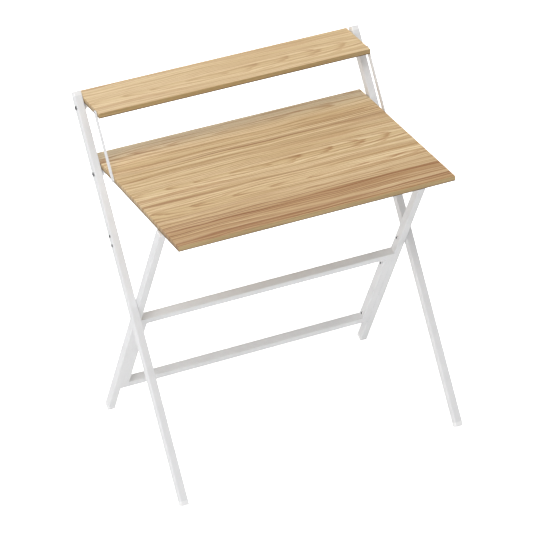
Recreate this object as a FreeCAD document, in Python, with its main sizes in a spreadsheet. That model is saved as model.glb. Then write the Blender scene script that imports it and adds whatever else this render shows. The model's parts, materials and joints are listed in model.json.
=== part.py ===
import FreeCAD, Part
import os
import Sketcher

# Folding computer desk: an X frame of long and short legs carries a desktop and a shelf.
# X runs to the right, Y to the back, Z up. The origin is on the floor, in the middle of the desk.
# Left and right pieces are made by the same functions, with side -1 on the left and 1 on the right.

doc = FreeCAD.newDocument("folding_desk")

# Driving dimensions in millimetres, lean angles in degrees from the vertical
SIZES = [
    ("desk_height", 747.0),
    ("panel_length", 777.0),
    ("panel_thickness", 15.0),
    ("panel_round", 1.5),
    ("desk_depth", 512.0),
    ("desk_rear", 58.0),
    ("shelf_depth", 134.0),
    ("shelf_rear", 40.2),
    ("pivot_drop", 9.5),
    ("panel_gap", 1.3),
    ("long_lean", 34.5),
    ("short_lean", 25.2),
    ("leg_width", 20.5),
    ("leg_depth", 22.4),
    ("leg_wall", 1.5),
    ("leg_round", 1.6),
    ("short_gap", 0.5),
    ("cross_to_desk", 352.0),
    ("desk_to_shelf", 174.3),
    ("post_above_shelf", 41.5),
    ("splice_below_desk", 175.2),
    ("splice_pitch", 25.0),
    ("sleeve_length", 120.0),
    ("bar_height", 22.5),
    ("upper_bar_drop", 69.5),
    ("lower_bar_drop", 367.5),
    ("upper_screw_drop", 108.0),
    ("lower_screw_drop", 344.0),
    ("rest_diameter", 16.0),
    ("rest_clearance", 0.3),
    ("rest_to_top", 11.5),
    ("hook_saddle", 10.0),
    ("hook_width", 36.0),
    ("hook_lip", 8.0),
    ("hook_nose", 8.0),
    ("hook_front", 24.0),
    ("hook_back", 24.0),
    ("hook_spread", 480.0),
    ("hook_screw_pitch", 20.0),
    ("hook_screw_back", 15.0),
    ("hook_screw_bite", 10.0),
    ("foot_head", 12.0),
    ("front_foot_cut", 3.5),
    ("rear_foot_cut", 2.0),
    ("foot_bevel", 1.2),
    ("post_head", 12.0),
    ("cap_head", 4.0),
    ("cap_bevel", 1.0),
    ("plug_length", 24.0),
    ("plug_clearance", 0.2),
    ("bolt_diameter", 6.0),
    ("bolt_head", 11.0),
    ("bolt_crown", 7.0),
    ("bolt_head_height", 3.3),
    ("bolt_spare", 1.5),
    ("nut_corner", 11.05),
    ("nut_height", 5.0),
    ("spacer_diameter", 10.0),
    ("washer_diameter", 18.0),
    ("fit_clearance", 0.05),
    ("bracket_thickness", 2.5),
    ("bracket_width", 46.0),
    ("bracket_reach", 32.0),
    ("bracket_eye", 9.0),
    ("bracket_setback", 1.0),
    ("bracket_corner", 6.0),
    ("bracket_bend", 2.0),
    ("bracket_screw_pitch", 28.0),
    ("bracket_screw_inset", 23.0),
    ("bracket_screw_bite", 10.0),
    ("wood_screw", 4.0),
    ("wood_screw_head", 8.0),
    ("wood_screw_crown", 5.0),
    ("wood_screw_head_height", 2.2),
    ("splice_screw_bite", 4.0),
    ("link_width", 14.0),
    ("link_thickness", 2.5),
    ("link_forward", 74.0),
    ("link_washer", 0.8),
    ("link_washer_diameter", 11.0),
    ("link_play", 0.1),
    ("link_screw", 5.0),
    ("link_screw_head", 8.5),
    ("link_screw_crown", 6.0),
    ("link_screw_head_height", 1.8),
    ("link_screw_bite", 20.0),
]

# Places worked out from the driving dimensions
LAYOUT = [
    ("long_sine", "sin(Sizes.long_lean * 1 deg)"),
    ("long_cosine", "cos(Sizes.long_lean * 1 deg)"),
    ("short_sine", "sin(Sizes.short_lean * 1 deg)"),
    ("short_cosine", "cos(Sizes.short_lean * 1 deg)"),
    ("desk_underside", "Sizes.desk_height - Sizes.panel_thickness"),
    ("cross_height", "desk_underside - Sizes.pivot_drop - Sizes.cross_to_desk * long_cosine"),
    ("long_foot", "(cross_height - Sizes.leg_depth / 2 * long_sine + Sizes.front_foot_cut) / long_cosine"),
    ("short_foot", "(cross_height - Sizes.leg_depth / 2 * short_sine + Sizes.rear_foot_cut) / short_cosine"),
    ("cross_to_shelf", "Sizes.cross_to_desk + Sizes.desk_to_shelf"),
    ("cross_to_top", "cross_to_shelf + Sizes.post_above_shelf"),
    ("cross_to_splice", "Sizes.cross_to_desk - Sizes.splice_below_desk"),
    ("foot_reach", "long_foot * long_sine + Sizes.leg_depth / 2 * long_cosine"),
    ("front_reach", "foot_reach - Sizes.foot_bevel * long_sine"),
    ("shelf_reach", "cross_to_shelf * long_sine + Sizes.shelf_rear"),
    ("post_reach", "cross_to_top * long_sine + Sizes.leg_depth / 2 * long_cosine"),
    ("cross_depth", "(front_reach - max(shelf_reach; post_reach)) / 2"),
    ("rest_drop", "Sizes.hook_saddle + Sizes.rest_diameter / 2"),
    ("cross_to_rest", "(desk_underside - rest_drop - cross_height) / short_cosine"),
    ("short_top", "cross_to_rest + Sizes.rest_to_top"),
    ("lower_leg_length", "long_foot - Sizes.foot_head + cross_to_splice"),
    ("lower_leg_cross", "long_foot - Sizes.foot_head"),
    ("lower_leg_screw", "lower_leg_length - Sizes.splice_pitch / 2"),
    ("post_length", "cross_to_top - cross_to_splice - Sizes.post_head"),
    ("post_shelf", "Sizes.splice_below_desk + Sizes.desk_to_shelf"),
    ("short_leg_cross", "short_foot - Sizes.foot_head"),
    ("short_leg_length", "short_leg_cross + short_top - Sizes.cap_head"),
    ("short_leg_upper_screw", "short_leg_cross - Sizes.upper_screw_drop"),
    ("short_leg_lower_screw", "short_leg_cross - Sizes.lower_screw_drop"),
    ("rail_foot_drop", "Sizes.lower_bar_drop - Sizes.bar_height / 2"),
    ("rail_length", "rail_foot_drop - Sizes.upper_bar_drop - Sizes.bar_height / 2"),
    ("rail_upper_screw", "rail_foot_drop - Sizes.upper_screw_drop"),
    ("rail_lower_screw", "rail_foot_drop - Sizes.lower_screw_drop"),
    ("leg_inner", "Sizes.panel_length / 2 + Sizes.panel_gap"),
    ("leg_outer", "leg_inner + Sizes.leg_width"),
    ("short_outer", "leg_inner - Sizes.short_gap"),
    ("short_inner", "short_outer - Sizes.leg_width"),
    ("rail_inner", "short_inner - Sizes.leg_width"),
    ("bar_length", "2 * short_inner"),
    ("hole_diameter", "Sizes.bolt_diameter + 2 * Sizes.fit_clearance"),
    ("wood_hole", "Sizes.wood_screw + 2 * Sizes.fit_clearance"),
    ("link_hole", "Sizes.link_screw + 2 * Sizes.fit_clearance"),
    ("sleeve_width", "Sizes.leg_width - 2 * Sizes.leg_wall - 2 * Sizes.plug_clearance"),
    ("sleeve_depth", "Sizes.leg_depth - 2 * Sizes.leg_wall - 2 * Sizes.plug_clearance"),
    ("sleeve_low_screw", "(Sizes.sleeve_length - Sizes.splice_pitch) / 2"),
    ("sleeve_high_screw", "(Sizes.sleeve_length + Sizes.splice_pitch) / 2"),
    ("spacer_length", "Sizes.panel_gap + Sizes.bracket_setback"),
    ("bracket_outer", "Sizes.panel_length / 2 - Sizes.bracket_setback"),
    ("link_rise", "Sizes.pivot_drop + Sizes.panel_thickness / 2"),
    ("link_inner", "Sizes.panel_length / 2 + Sizes.link_washer"),
    ("hook_cradle", "Sizes.rest_diameter / 2 + Sizes.rest_clearance"),
    ("pivot_bolt_length", "Sizes.leg_width + spacer_length + Sizes.bracket_thickness"
                          " + Sizes.nut_height + Sizes.bolt_spare"),
    ("cross_bolt_length", "Sizes.leg_width + Sizes.short_gap + Sizes.leg_wall"
                          " + Sizes.nut_height + Sizes.bolt_spare"),
    ("frame_screw_length", "Sizes.leg_width + Sizes.leg_wall + Sizes.nut_height + Sizes.bolt_spare"),
    ("splice_screw_length", "2 * Sizes.leg_wall + Sizes.plug_clearance + Sizes.splice_screw_bite"),
    ("bracket_screw_length", "Sizes.bracket_thickness + Sizes.bracket_screw_bite"),
    ("hook_screw_length", "Sizes.hook_saddle - Sizes.rest_clearance + Sizes.hook_screw_bite"),
    ("link_screw_length", "Sizes.link_play + Sizes.link_thickness + Sizes.link_washer"
                          " + Sizes.link_screw_bite"),
]


def fill_sheet(name, rows, lead):
    sheet = doc.addObject("Spreadsheet::Sheet", name)
    for number, (alias, content) in enumerate(rows, start=1):
        cell = "B%d" % number
        sheet.set("A%d" % number, alias)
        sheet.set(cell, lead + str(content))
        sheet.setAlias(cell, alias)
    doc.recompute()
    return {alias: float(sheet.get(alias)) for alias, content in rows}


size = fill_sheet("Sizes", SIZES, "")
layout = fill_sheet("Layout", LAYOUT, "=")

# The two leg directions and the points that the pieces hang on, in the Y-Z plane
along_x = FreeCAD.Vector(1, 0, 0)
along_y = FreeCAD.Vector(0, 1, 0)
long_up = FreeCAD.Vector(0, layout["long_sine"], layout["long_cosine"])
short_up = FreeCAD.Vector(0, -layout["short_sine"], layout["short_cosine"])
cross = FreeCAD.Vector(0, layout["cross_depth"], layout["cross_height"])
desk_pivot = cross + long_up * size["cross_to_desk"]
shelf_pivot = cross + long_up * layout["cross_to_shelf"]
splice = cross + long_up * layout["cross_to_splice"]
rest_centre = cross + short_up * layout["cross_to_rest"]
link_arm = FreeCAD.Vector(0, -size["link_forward"], layout["link_rise"])

# Turns from a piece's own upright frame into the desk
upright = FreeCAD.Rotation()
long_turn = FreeCAD.Rotation(along_x, -size["long_lean"])
short_turn = FreeCAD.Rotation(along_x, size["short_lean"])
upside_down = FreeCAD.Rotation(along_x, 180)
to_right = FreeCAD.Rotation(along_y, 90)
to_left = FreeCAD.Rotation(along_y, -90)
sides = {"left": -1, "right": 1}
nodes = []


def at(point, x, turn=upright):
    return FreeCAD.Placement(FreeCAD.Vector(x, point.y, point.z), turn)


def keep(piece, label, placement=None):
    piece.Label = label
    if placement is not None:
        piece.Placement = placement
    nodes.append(piece)


def new_body(name):
    return doc.addObject("PartDesign::Body", name + "_body")


def new_sketch(body, role, offset=None):
    sketch = body.newObject("Sketcher::SketchObject", "Sketch")
    support = [feature for feature in body.Origin.OriginFeatures if feature.Role == role]
    sketch.AttachmentSupport = [(support[0], "")]
    sketch.MapMode = "FlatFace"
    if offset is not None:
        sketch.setExpression("AttachmentOffset.Base.z", offset)
    return sketch


def tie(sketch, kind, references, formula, start):
    index = sketch.addConstraint(Sketcher.Constraint(kind, *references, start))
    sketch.setExpression("Constraints[%d]" % index, formula)


def draw_polygon(sketch, corners):
    # Straight outline; each corner is a pair of formulas
    count = len(corners)
    start = [FreeCAD.Vector(10 + number, 10 + number * number, 0) for number in range(count)]
    for number in range(count):
        sketch.addGeometry(Part.LineSegment(start[number], start[(number + 1) % count]))
    for number in range(count):
        sketch.addConstraint(Sketcher.Constraint("Coincident", number, 2, (number + 1) % count, 1))
    for number, (across, up) in enumerate(corners):
        tie(sketch, "DistanceX", (-1, 1, number, 1), across, start[number].x)
        tie(sketch, "DistanceY", (-1, 1, number, 1), up, start[number].y)


def draw_rectangle(sketch, width, height):
    left, right = "-(%s) / 2" % width, "(%s) / 2" % width
    low, high = "-(%s) / 2" % height, "(%s) / 2" % height
    draw_polygon(sketch, [(left, low), (right, low), (right, high), (left, high)])


def draw_circle(sketch, across, up, diameter):
    index = sketch.addGeometry(Part.Circle(FreeCAD.Vector(10, 10, 0), FreeCAD.Vector(0, 0, 1), 5))
    tie(sketch, "DistanceX", (-1, 1, index, 3), across, 10)
    tie(sketch, "DistanceY", (-1, 1, index, 3), up, 10)
    tie(sketch, "Diameter", (index,), diameter, 10)


def pad(body, sketch, length):
    feature = body.newObject("PartDesign::Pad", "Pad")
    feature.Profile = sketch
    feature.setExpression("Length", length)
    doc.recompute()


def pocket(body, sketch, depth=None, reverse=False):
    before = body.Shape.Volume
    feature = body.newObject("PartDesign::Pocket", "Pocket")
    feature.Profile = sketch
    feature.Reversed = reverse
    if depth is None:
        feature.Type = "ThroughAll"
    else:
        feature.setExpression("Length", depth)
    doc.recompute()
    if body.Shape.Volume >= before:
        raise RuntimeError("a pocket of %s cuts nothing" % body.Name)


def ease_edges(body, chosen, kind, span):
    # Rounds or bevels the edges of the newest feature that the chooser picks
    base = body.Tip
    names = ["Edge%d" % (number + 1) for number, edge in enumerate(base.Shape.Edges) if chosen(edge)]
    feature = body.newObject("PartDesign::" + kind, kind)
    feature.Base = (base, names)
    feature.setExpression("Radius" if kind == "Fillet" else "Size", span)
    doc.recompute()


def runs_along_z(edge):
    direction = edge.Vertexes[-1].Point - edge.Vertexes[0].Point
    return abs(direction.z) > 0.9 * direction.Length


def lies_at_bottom(edge):
    return edge.BoundBox.ZMax < FreeCAD.Base.Precision.confusion()


def make_tube(name, width, depth, wall, length):
    # Rectangular steel tube, standing on its lower end
    body = new_body(name)
    outline = new_sketch(body, "XY_Plane")
    draw_rectangle(outline, width, depth)
    pad(body, outline, length)
    ease_edges(body, runs_along_z, "Fillet", "Sizes.leg_round")
    bore = new_sketch(body, "XY_Plane")
    draw_rectangle(bore, "%s - 2 * %s" % (width, wall), "%s - 2 * %s" % (depth, wall))
    pocket(body, bore, reverse=True)
    return body


def drill_tube(body, places, diameter, walls):
    # Cross holes along X: through both walls, or through the wall on one side only
    sketch = new_sketch(body, "YZ_Plane", "Sizes.leg_width" if walls == 0 else None)
    for place in places:
        draw_circle(sketch, "0", place, diameter)
    pocket(body, sketch, reverse=walls > 0)


def make_plug(name, head, end_bevel):
    # Plastic end plug: a head flush with the tube and a hollow stub that sits inside it
    body = new_body(name)
    outline = new_sketch(body, "XY_Plane")
    draw_rectangle(outline, "Sizes.leg_width", "Sizes.leg_depth")
    pad(body, outline, head)
    ease_edges(body, runs_along_z, "Fillet", "Sizes.leg_round")
    ease_edges(body, lies_at_bottom, "Chamfer", end_bevel)
    stub = new_sketch(body, "XY_Plane", head)
    draw_rectangle(stub, "Layout.sleeve_width", "Layout.sleeve_depth")
    pad(body, stub, "Sizes.plug_length")
    core = new_sketch(body, "XY_Plane", head)
    draw_rectangle(core, "Layout.sleeve_width - 2 * Sizes.leg_wall", "Layout.sleeve_depth - 2 * Sizes.leg_wall")
    pocket(body, core, "Sizes.plug_length", reverse=True)
    return body


def stand_on_floor(name, plug, placement):
    # The low corner of a foot is cut level with the floor
    plug.Placement = placement
    floor = doc.addObject("Part::Box", name + "_floor")
    for side_name, span in (("Length", "Sizes.leg_width"), ("Width", "Sizes.leg_depth")):
        floor.setExpression(side_name, "4 * " + span)
    floor.setExpression("Height", "Sizes.leg_depth")
    corner = placement.Base - FreeCAD.Vector(2 * size["leg_width"], 2 * size["leg_depth"], 0)
    floor.Placement.Base = FreeCAD.Vector(corner.x, corner.y, -size["leg_depth"])
    foot = doc.addObject("Part::Cut", name + "_cut")
    foot.Base = plug
    foot.Tool = floor
    keep(foot, name)


def cylinder(radius, height, placement):
    shape = doc.addObject("Part::Cylinder", "Cylinder")
    shape.setExpression("Radius", radius)
    shape.setExpression("Height", height)
    shape.Placement = placement
    return shape


def join(kind, pieces):
    shape = doc.addObject(kind, "Joined")
    if kind == "Part::Compound":
        shape.Links = pieces
    else:
        shape.Shapes = pieces
    return shape


def cut(base, tool):
    shape = doc.addObject("Part::Cut", "Cut")
    shape.Base = base
    shape.Tool = tool
    return shape


def make_screw(placement, diameter, head, crown, head_height, length):
    # Bearing face at the placement, shank along its Z, head behind it
    shank = cylinder(diameter + " / 2", length, placement)
    dome = doc.addObject("Part::Cone", "Head")
    dome.setExpression("Radius1", crown + " / 2")
    dome.setExpression("Radius2", head + " / 2")
    dome.setExpression("Height", head_height)
    back = FreeCAD.Vector(0, 0, -size[head_height.split(".")[1]])
    dome.Placement = placement.multiply(FreeCAD.Placement(back, upright))
    return join("Part::MultiFuse", [shank, dome])


def make_bolt(placement, length):
    return make_screw(placement, "Sizes.bolt_diameter", "Sizes.bolt_head", "Sizes.bolt_crown",
                      "Sizes.bolt_head_height", length)


def make_wood_screw(placement, length):
    return make_screw(placement, "Sizes.wood_screw", "Sizes.wood_screw_head", "Sizes.wood_screw_crown",
                      "Sizes.wood_screw_head_height", length)


def make_ring(placement, outer, inner, thickness):
    disc = cylinder(outer + " / 2", thickness, placement)
    return cut(disc, cylinder(inner + " / 2", thickness, placement))


def make_nut(placement):
    prism = doc.addObject("Part::Prism", "Nut")
    prism.Polygon = 6
    prism.setExpression("Circumradius", "Sizes.nut_corner / 2")
    prism.setExpression("Height", "Sizes.nut_height")
    prism.Placement = placement
    return cut(prism, cylinder("Layout.hole_diameter / 2", "Sizes.nut_height", placement))


def outward(side):
    return to_right if side > 0 else to_left


def inward(side):
    return to_left if side > 0 else to_right


def make_long_leg(name, side):
    # Lower leg and upper post, joined end to end by a sleeve inside them
    middle = side * (layout["leg_inner"] + size["leg_width"] / 2)
    lower = make_tube("lower_leg", "Sizes.leg_width", "Sizes.leg_depth", "Sizes.leg_wall",
                      "Layout.lower_leg_length")
    drill_tube(lower, ["Layout.lower_leg_cross"], "Layout.hole_diameter", -side)
    drill_tube(lower, ["Layout.lower_leg_screw"], "Layout.wood_hole", side)
    low_end = cross - long_up * layout["lower_leg_cross"]
    keep(lower, "lower_leg_" + name, at(low_end, middle, long_turn))
    post = make_tube("upper_post", "Sizes.leg_width", "Sizes.leg_depth", "Sizes.leg_wall", "Layout.post_length")
    drill_tube(post, ["Sizes.splice_below_desk", "Layout.post_shelf"], "Layout.hole_diameter", 0)
    drill_tube(post, ["Sizes.splice_pitch / 2"], "Layout.wood_hole", side)
    keep(post, "upper_post_" + name, at(splice, middle, long_turn))
    sleeve = make_tube("splice_sleeve", "Layout.sleeve_width", "Layout.sleeve_depth", "Sizes.leg_wall",
                       "Sizes.sleeve_length")
    drill_tube(sleeve, ["Layout.sleeve_low_screw", "Layout.sleeve_high_screw"], "Layout.wood_hole", side)
    keep(sleeve, "splice_sleeve_" + name, at(splice - long_up * (size["sleeve_length"] / 2), middle, long_turn))
    foot = make_plug("front_foot", "Sizes.foot_head", "Sizes.foot_bevel")
    stand_on_floor("front_foot_" + name, foot, at(cross - long_up * layout["long_foot"], middle, long_turn))
    cap = make_plug("post_cap", "Sizes.post_head", "Sizes.cap_bevel")
    cap_place = at(cross + long_up * layout["cross_to_top"], middle, long_turn.multiply(upside_down))
    keep(cap, "post_cap_" + name, cap_place)


def make_short_leg(name, side):
    # Short leg with the side rail of the inner frame against its inner face
    middle = side * (layout["short_inner"] + size["leg_width"] / 2)
    leg = make_tube("short_leg", "Sizes.leg_width", "Sizes.leg_depth", "Sizes.leg_wall", "Layout.short_leg_length")
    drill_tube(leg, ["Layout.short_leg_cross"], "Layout.hole_diameter", 0)
    drill_tube(leg, ["Layout.short_leg_upper_screw", "Layout.short_leg_lower_screw"], "Layout.hole_diameter", -side)
    keep(leg, "short_leg_" + name, at(cross - short_up * layout["short_leg_cross"], middle, short_turn))
    rail = make_tube("side_rail", "Sizes.leg_width", "Sizes.leg_depth", "Sizes.leg_wall", "Layout.rail_length")
    drill_tube(rail, ["Layout.rail_upper_screw", "Layout.rail_lower_screw"], "Layout.hole_diameter", 0)
    rail_middle = side * (layout["rail_inner"] + size["leg_width"] / 2)
    keep(rail, "side_rail_" + name, at(cross - short_up * layout["rail_foot_drop"], rail_middle, short_turn))
    foot = make_plug("rear_foot", "Sizes.foot_head", "Sizes.foot_bevel")
    stand_on_floor("rear_foot_" + name, foot, at(cross - short_up * layout["short_foot"], middle, short_turn))
    cap = make_plug("short_leg_cap", "Sizes.cap_head", "Sizes.cap_bevel")
    cap_place = at(cross + short_up * layout["short_top"], middle, short_turn.multiply(upside_down))
    keep(cap, "short_leg_cap_" + name, cap_place)


def make_crossbar(name, drop):
    # Tube between the short legs, turned with them and flush with their front and back faces
    bar = make_tube("crossbar", "Sizes.bar_height", "Sizes.leg_depth", "Sizes.leg_wall", "Layout.bar_length")
    keep(bar, name, at(cross - short_up * drop, -layout["short_inner"], short_turn.multiply(to_right)))


def make_rest_rail():
    # Round tube that the desktop's hooks lie on
    body = new_body("rest_rail")
    ring = new_sketch(body, "XY_Plane")
    draw_circle(ring, "0", "0", "Sizes.rest_diameter")
    draw_circle(ring, "0", "0", "Sizes.rest_diameter - 2 * Sizes.leg_wall")
    pad(body, ring, "Layout.bar_length")
    keep(body, "rest_rail", at(rest_centre, -layout["short_inner"], to_right))


def make_panel(name, depth, rear, pivot, screw_places):
    # Laminated board with eased edges; its own origin is above the pivot, on the underside
    body = new_body(name)
    outline = new_sketch(body, "XY_Plane")
    half = "Sizes.panel_length / 2"
    front = "%s - %s" % (rear, depth)
    draw_polygon(outline, [("-" + half, front), (half, front), (half, rear), ("-" + half, rear)])
    pad(body, outline, "Sizes.panel_thickness")
    ease_edges(body, lambda edge: not runs_along_z(edge), "Fillet", "Sizes.panel_round")
    for bite, places in screw_places:
        sketch = new_sketch(body, "XY_Plane")
        for across, back in places:
            draw_circle(sketch, across, back, "Layout.wood_hole")
        pocket(body, sketch, bite, reverse=True)
    for side in sides.values():
        sketch = new_sketch(body, "YZ_Plane", "%d * %s" % (side, half))
        draw_circle(sketch, "-Sizes.link_forward", "Sizes.panel_thickness / 2", "Layout.link_hole")
        pocket(body, sketch, "Sizes.link_screw_bite", reverse=side < 0)
    keep(body, name, at(pivot + FreeCAD.Vector(0, 0, size["pivot_drop"]), 0))


def bracket_screws(side):
    # Formulas for the two screws of one bracket, from the pivot
    across = "%d * (Layout.bracket_outer - Sizes.bracket_screw_inset)" % side
    return [(across, "%d * Sizes.bracket_screw_pitch / 2" % back) for back in sides.values()]


def hook_screws(side):
    # Formulas for the two screws of one rest hook, from the middle of the desk and the rest rail
    middle = "%d * Sizes.hook_spread / 2" % side
    return ["%s + %d * Sizes.hook_screw_pitch / 2" % (middle, step) for step in sides.values()]


def lies_at_inner_end(edge):
    # Upright corners at the free end of a bracket's plate
    return runs_along_z(edge) and edge.BoundBox.XMin > size["bracket_reach"] - size["bracket_thickness"]


def lies_at_bend(edge):
    # Top edge of a bracket on the ear's side
    tiny = FreeCAD.Base.Precision.confusion()
    return edge.BoundBox.XMax < tiny and edge.BoundBox.ZMin > size["pivot_drop"] - tiny


def make_bracket(name, side, pivot):
    # Angle bracket under a panel: a screwed plate and a rounded ear for the pivot bolt
    body = new_body("bracket")
    ear = new_sketch(body, "YZ_Plane")
    eye = "Sizes.bracket_eye"
    draw_polygon(ear, [("-" + eye, "0"), (eye, "0"), (eye, "Sizes.pivot_drop"), ("-" + eye, "Sizes.pivot_drop")])
    pad(body, ear, "Sizes.bracket_thickness")
    knuckle = new_sketch(body, "YZ_Plane")
    draw_circle(knuckle, "0", "0", "2 * " + eye)
    pad(body, knuckle, "Sizes.bracket_thickness")
    plate = new_sketch(body, "XY_Plane", "Sizes.pivot_drop - Sizes.bracket_thickness")
    half = "Sizes.bracket_width / 2"
    reach = "Sizes.bracket_reach"
    draw_polygon(plate, [("0", "-" + half), (reach, "-" + half), (reach, half), ("0", half)])
    pad(body, plate, "Sizes.bracket_thickness")
    ease_edges(body, lies_at_inner_end, "Fillet", "Sizes.bracket_corner")
    ease_edges(body, lies_at_bend, "Fillet", "Sizes.bracket_bend")
    eyelet = new_sketch(body, "YZ_Plane")
    draw_circle(eyelet, "0", "0", "Layout.hole_diameter")
    pocket(body, eyelet, reverse=True)
    screws = new_sketch(body, "XY_Plane")
    for back in sides.values():
        draw_circle(screws, "Sizes.bracket_screw_inset", "%d * Sizes.bracket_screw_pitch / 2" % back,
                    "Layout.wood_hole")
    pocket(body, screws, reverse=True)
    turn = FreeCAD.Rotation(FreeCAD.Vector(0, 0, 1), 180) if side > 0 else upright
    keep(body, name, at(pivot, side * layout["bracket_outer"], turn))


def make_hook(name, side):
    # Moulded rest hook: a saddle over the rest rail with a stop lip in front, open at the back
    body = new_body("rest_hook")
    profile = new_sketch(body, "YZ_Plane")
    top = "Layout.rest_drop"
    cradle = "Layout.hook_cradle"
    nose = "-%s - Sizes.hook_nose" % cradle
    corners = [
        ("-Sizes.hook_front", top),
        ("Sizes.hook_back", top),
        ("Sizes.hook_back", cradle),
        ("0", cradle),
        ("0", "0"),
        ("-" + cradle, "0"),
        ("-" + cradle, "-Sizes.hook_lip"),
        (nose, "-Sizes.hook_lip"),
        ("-Sizes.hook_front", "0"),
    ]
    draw_polygon(profile, corners)
    pad(body, profile, "Sizes.hook_width")
    groove = new_sketch(body, "YZ_Plane")
    draw_circle(groove, "0", "0", "2 * " + cradle)
    pocket(body, groove, reverse=True)
    holes = new_sketch(body, "XY_Plane")
    for step in sides.values():
        draw_circle(holes, "Sizes.hook_width / 2 + %d * Sizes.hook_screw_pitch / 2" % step,
                    "Sizes.hook_screw_back", "Layout.wood_hole")
    pocket(body, holes, reverse=True)
    keep(body, name, at(rest_centre, side * size["hook_spread"] / 2 - size["hook_width"] / 2))


def make_link(name, side):
    # Flat bar with round ends that holds the shelf parallel to the desktop
    foot = desk_pivot + link_arm
    turn = long_turn
    inner = side * layout["link_inner"]
    low = at(foot, inner, turn.multiply(outward(side)))
    high = at(foot + long_up * size["desk_to_shelf"], inner, turn.multiply(outward(side)))
    bar = doc.addObject("Part::Box", "Bar")
    bar.setExpression("Length", "Sizes.link_thickness")
    bar.setExpression("Width", "Sizes.link_width")
    bar.setExpression("Height", "Sizes.desk_to_shelf")
    start = min(inner, inner + side * size["link_thickness"])
    half_width = turn.multVec(along_y) * (size["link_width"] / 2)
    bar.Placement = at(foot - half_width, start, turn)
    ends = [cylinder("Sizes.link_width / 2", "Sizes.link_thickness", place) for place in (low, high)]
    holes = [cylinder("Layout.link_hole / 2", "Sizes.link_thickness", place) for place in (low, high)]
    blank = join("Part::MultiFuse", [bar] + ends)
    keep(cut(blank, join("Part::MultiFuse", holes)), name)


def group(label, pieces):
    keep(join("Part::Compound", pieces), label)


def make_pivot_fasteners():
    # Bolts with their heads outside the long legs, spacers beside the panels, lock nuts behind the brackets
    nut_face = layout["bracket_outer"] - size["bracket_thickness"]
    for label, pivot in (("desk_pivot", desk_pivot), ("shelf_pivot", shelf_pivot)):
        bolts = [make_bolt(at(pivot, s * layout["leg_outer"], inward(s)), "Layout.pivot_bolt_length")
                 for s in sides.values()]
        group(label + "_bolts", bolts)
        spacers = [make_ring(at(pivot, s * layout["leg_inner"], inward(s)), "Sizes.spacer_diameter",
                             "Layout.hole_diameter", "Layout.spacer_length") for s in sides.values()]
        group(label + "_spacers", spacers)
        group(label + "_nuts", [make_nut(at(pivot, s * nut_face, inward(s))) for s in sides.values()])


def make_cross_fasteners():
    # Bolts from inside the short legs into nuts welded inside the long legs
    bolts = [make_bolt(at(cross, s * layout["short_inner"], outward(s)), "Layout.cross_bolt_length")
             for s in sides.values()]
    group("cross_pivot_bolts", bolts)
    washers = [make_ring(at(cross, s * layout["short_outer"], outward(s)), "Sizes.washer_diameter",
                         "Layout.hole_diameter", "Sizes.short_gap") for s in sides.values()]
    group("cross_pivot_washers", washers)
    seat = layout["leg_inner"] + size["leg_wall"]
    turns = {s: long_turn.multiply(outward(s)) for s in sides.values()}
    group("cross_pivot_nuts", [make_nut(at(cross, s * seat, turns[s])) for s in sides.values()])


def make_frame_fasteners():
    # Screws from inside the side rails into nuts welded inside the short legs
    drops = [size["upper_screw_drop"], size["lower_screw_drop"]]
    spots = [(s, cross - short_up * drop) for s in sides.values() for drop in drops]
    bolts = [make_bolt(at(spot, s * layout["rail_inner"], outward(s)), "Layout.frame_screw_length")
             for s, spot in spots]
    group("frame_screws", bolts)
    seat = layout["short_inner"] + size["leg_wall"]
    turns = {s: short_turn.multiply(outward(s)) for s in sides.values()}
    group("frame_nuts", [make_nut(at(spot, s * seat, turns[s])) for s, spot in spots])


def make_splice_screws():
    steps = [-size["splice_pitch"] / 2, size["splice_pitch"] / 2]
    spots = [(s, splice + long_up * step) for s in sides.values() for step in steps]
    screws = [make_wood_screw(at(spot, s * layout["leg_outer"], inward(s)), "Layout.splice_screw_length")
              for s, spot in spots]
    group("splice_screws", screws)


def make_bracket_screws(label, pivot):
    across = layout["bracket_outer"] - size["bracket_screw_inset"]
    seat = size["pivot_drop"] - size["bracket_thickness"]
    spots = [(s, pivot + FreeCAD.Vector(0, back * size["bracket_screw_pitch"] / 2, seat))
             for s in sides.values() for back in sides.values()]
    screws = [make_wood_screw(at(spot, s * across), "Layout.bracket_screw_length") for s, spot in spots]
    group(label, screws)


def make_hook_screws():
    spot = rest_centre + FreeCAD.Vector(0, size["hook_screw_back"], layout["hook_cradle"])
    places = [s * size["hook_spread"] / 2 + step * size["hook_screw_pitch"] / 2
              for s in sides.values() for step in sides.values()]
    group("hook_screws", [make_wood_screw(at(spot, x), "Layout.hook_screw_length") for x in places])


def make_link_fasteners(label, pivot):
    # Shoulder screws through the links into the panel's side, with a thin washer behind each link
    eye = pivot + link_arm
    head_face = layout["link_inner"] + size["link_thickness"] + size["link_play"]
    screws = [make_screw(at(eye, s * head_face, inward(s)), "Sizes.link_screw", "Sizes.link_screw_head",
                         "Sizes.link_screw_crown", "Sizes.link_screw_head_height", "Layout.link_screw_length")
              for s in sides.values()]
    group(label + "_link_screws", screws)
    washers = [make_ring(at(eye, s * size["panel_length"] / 2, outward(s)), "Sizes.link_washer_diameter",
                         "Layout.link_hole", "Sizes.link_washer") for s in sides.values()]
    group(label + "_link_washers", washers)


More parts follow.
